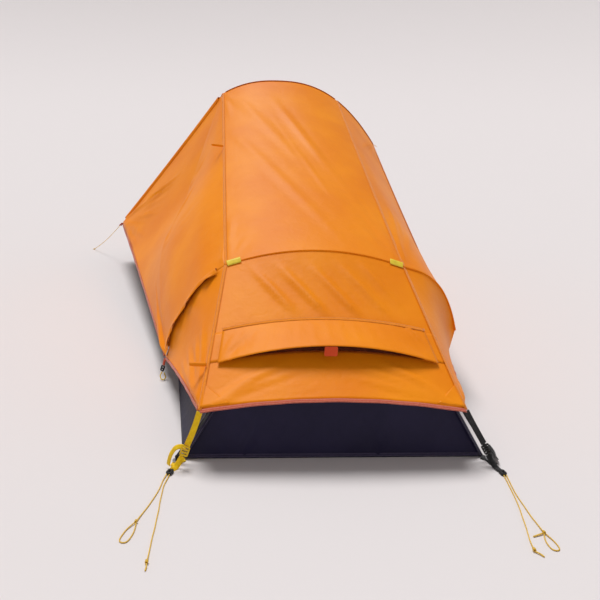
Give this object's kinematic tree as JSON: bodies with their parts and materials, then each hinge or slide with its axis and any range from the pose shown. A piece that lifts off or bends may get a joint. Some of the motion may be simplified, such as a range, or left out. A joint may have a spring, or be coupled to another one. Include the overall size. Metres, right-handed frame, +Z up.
{
  "type": "one-person tent",
  "caption": "Low one-person tent on hubbed poles: sloping orange fly with side vestibule door, foot vent hood, navy bathtub floor, corner straps and guy cords.",
  "frame": {"origin": "on the ground, under the middle of the bathtub floor's underside", "axes": "+Y from the foot to the head along the floor, +X to the tent's right, away from the vestibule, +Z up"},
  "size_m": [1.4649, 2.599, 0.9188],
  "materials": {
    "fly_cloth": "coated ripstop, soft sheen",
    "binding_tape": "woven tape",
    "vent_mesh": "fine mesh",
    "prop_tab": "stiffened tape",
    "floor_cloth": "coated cloth, low sheen",
    "inner_cloth": "mesh and light cloth",
    "pole_alloy": "anodised dark",
    "ferrule_alloy": "satin",
    "hub_plastic": "moulded",
    "grommet_metal": "satin",
    "zip_tape": "woven",
    "zip_metal": "satin black",
    "yellow_webbing": "woven webbing",
    "black_webbing": "woven webbing",
    "red_webbing": "woven webbing",
    "tab_cloth": "reflective tape",
    "yellow_plastic": "moulded",
    "black_plastic": "moulded",
    "guy_cord": "braided"
  },
  "bodies": {
    "tent": {"bathtub_floor": "floor_cloth", "brow_pole": "pole_alloy", "corner_grommets": "grommet_metal", "door_foot_buckle": "black_plastic", "door_toggles": "fly_cloth", "fly_foot_gores": "fly_cloth", "fly_foot_skirt": "fly_cloth", "fly_foot_wall": "fly_cloth", "fly_head_wall": "fly_cloth", "fly_left_rear": "fly_cloth", "fly_right_rear": "fly_cloth", "fly_right_side": "fly_cloth", "fly_right_skirt": "fly_cloth", "fly_roof": "fly_cloth", "foot_vent_hood": "fly_cloth", "foot_vent_mesh": "vent_mesh", "guy_knots": "guy_cord", "guy_tabs": "tab_cloth", "head_corner_webbing": "black_webbing", "head_legs": "pole_alloy", "hem_binding": "binding_tape", "inner_clips": "hub_plastic", "inner_end_walls": "inner_cloth", "inner_left_wall": "inner_cloth", "inner_right_wall": "inner_cloth", "inner_roof": "inner_cloth", "left_cord_lock": "black_plastic", "left_foot_leg": "pole_alloy", "left_foot_strap": "yellow_webbing", "left_foot_webbing": "yellow_webbing", "left_guy_loop": "guy_cord", "left_guy_strand": "guy_cord", "left_guy_tail": "guy_cord", "pole_ferrules": "ferrule_alloy", "pole_hubs": "hub_plastic", "pole_tips": "hub_plastic", "ridge_poles": "pole_alloy", "right_cord_lock": "black_plastic", "right_foot_leg": "pole_alloy", "right_foot_strap": "black_webbing", "right_foot_webbing": "black_webbing", "right_guy_loop": "guy_cord", "right_guy_strand": "guy_cord", "right_guy_tail": "guy_cord", "spreader_pole": "pole_alloy", "vestibule_guy_cord": "guy_cord", "vestibule_webbing": "red_webbing", "zip_tapes": "zip_tape"},
    "vestibule_door": {"vestibule_door": "fly_cloth", "near_storm_flap": "fly_cloth", "far_storm_flap": "fly_cloth", "door_hem_binding": "binding_tape"},
    "near_zip_slider": {"near_zip_slider": "zip_metal"},
    "near_zip_pull": {"near_zip_pull": "zip_metal"},
    "far_zip_slider": {"far_zip_slider": "zip_metal"},
    "far_zip_pull": {"far_zip_pull": "zip_metal"},
    "inner_door": {"inner_door": "inner_cloth"},
    "vent_prop": {"vent_prop": "prop_tab"},
    "left_ladder_lock": {"left_ladder_lock": "yellow_plastic"},
    "right_buckle": {"right_buckle": "black_plastic"}
  },
  "joints": [
    {"name": "vestibule_door_fold", "type": "hinge", "parent": "tent", "child": "vestibule_door", "pos_m": [-0.267, -0.656, 0.39], "axis": [0.0211, 0.9302, 0.3665], "range_deg": [0, 110]},
    {"name": "near_zip_travel", "type": "slide", "parent": "tent", "child": "near_zip_slider", "axis": [0.3069, -0.22, 0.926], "range_m": [0, 0.125]},
    {"name": "near_pull_lift", "type": "hinge", "parent": "near_zip_slider", "child": "near_zip_pull", "pos_m": [-0.43644, -0.59644, 0.10075], "axis": [-0.0774, 0.9639, 0.2547], "range_deg": [0, 12]},
    {"name": "far_zip_travel", "type": "slide", "parent": "tent", "child": "far_zip_slider", "axis": [0.5419, -0.3967, 0.7409], "range_m": [0, 0.8]},
    {"name": "far_pull_lift", "type": "hinge", "parent": "far_zip_slider", "child": "far_zip_pull", "pos_m": [-0.70199, 0.87798, 0.22625], "axis": [0.5542, 0.8314, 0.0398], "range_deg": [0, 12]},
    {"name": "inner_door_fold", "type": "hinge", "parent": "tent", "child": "inner_door", "pos_m": [-0.3398, -0.45219, 0.136], "axis": [-0.0647, 0.9979, 0], "range_deg": [0, 60]},
    {"name": "vent_prop_swing", "type": "hinge", "parent": "tent", "child": "vent_prop", "pos_m": [0, -0.99709, 0.26915], "axis": [1, 0, 0], "range_deg": [0, 43]},
    {"name": "left_ladder_lock_tilt", "type": "hinge", "parent": "tent", "child": "left_ladder_lock", "pos_m": [-0.37265, -1.10919, 0.05412], "axis": [-0.9411, 0, 0.3382], "range_deg": [0, 40]},
    {"name": "right_buckle_tilt", "type": "hinge", "parent": "tent", "child": "right_buckle", "pos_m": [0.36937, -1.10935, 0.05306], "axis": [-0.8579, 0, -0.5138], "range_deg": [0, 40]}
  ]
}
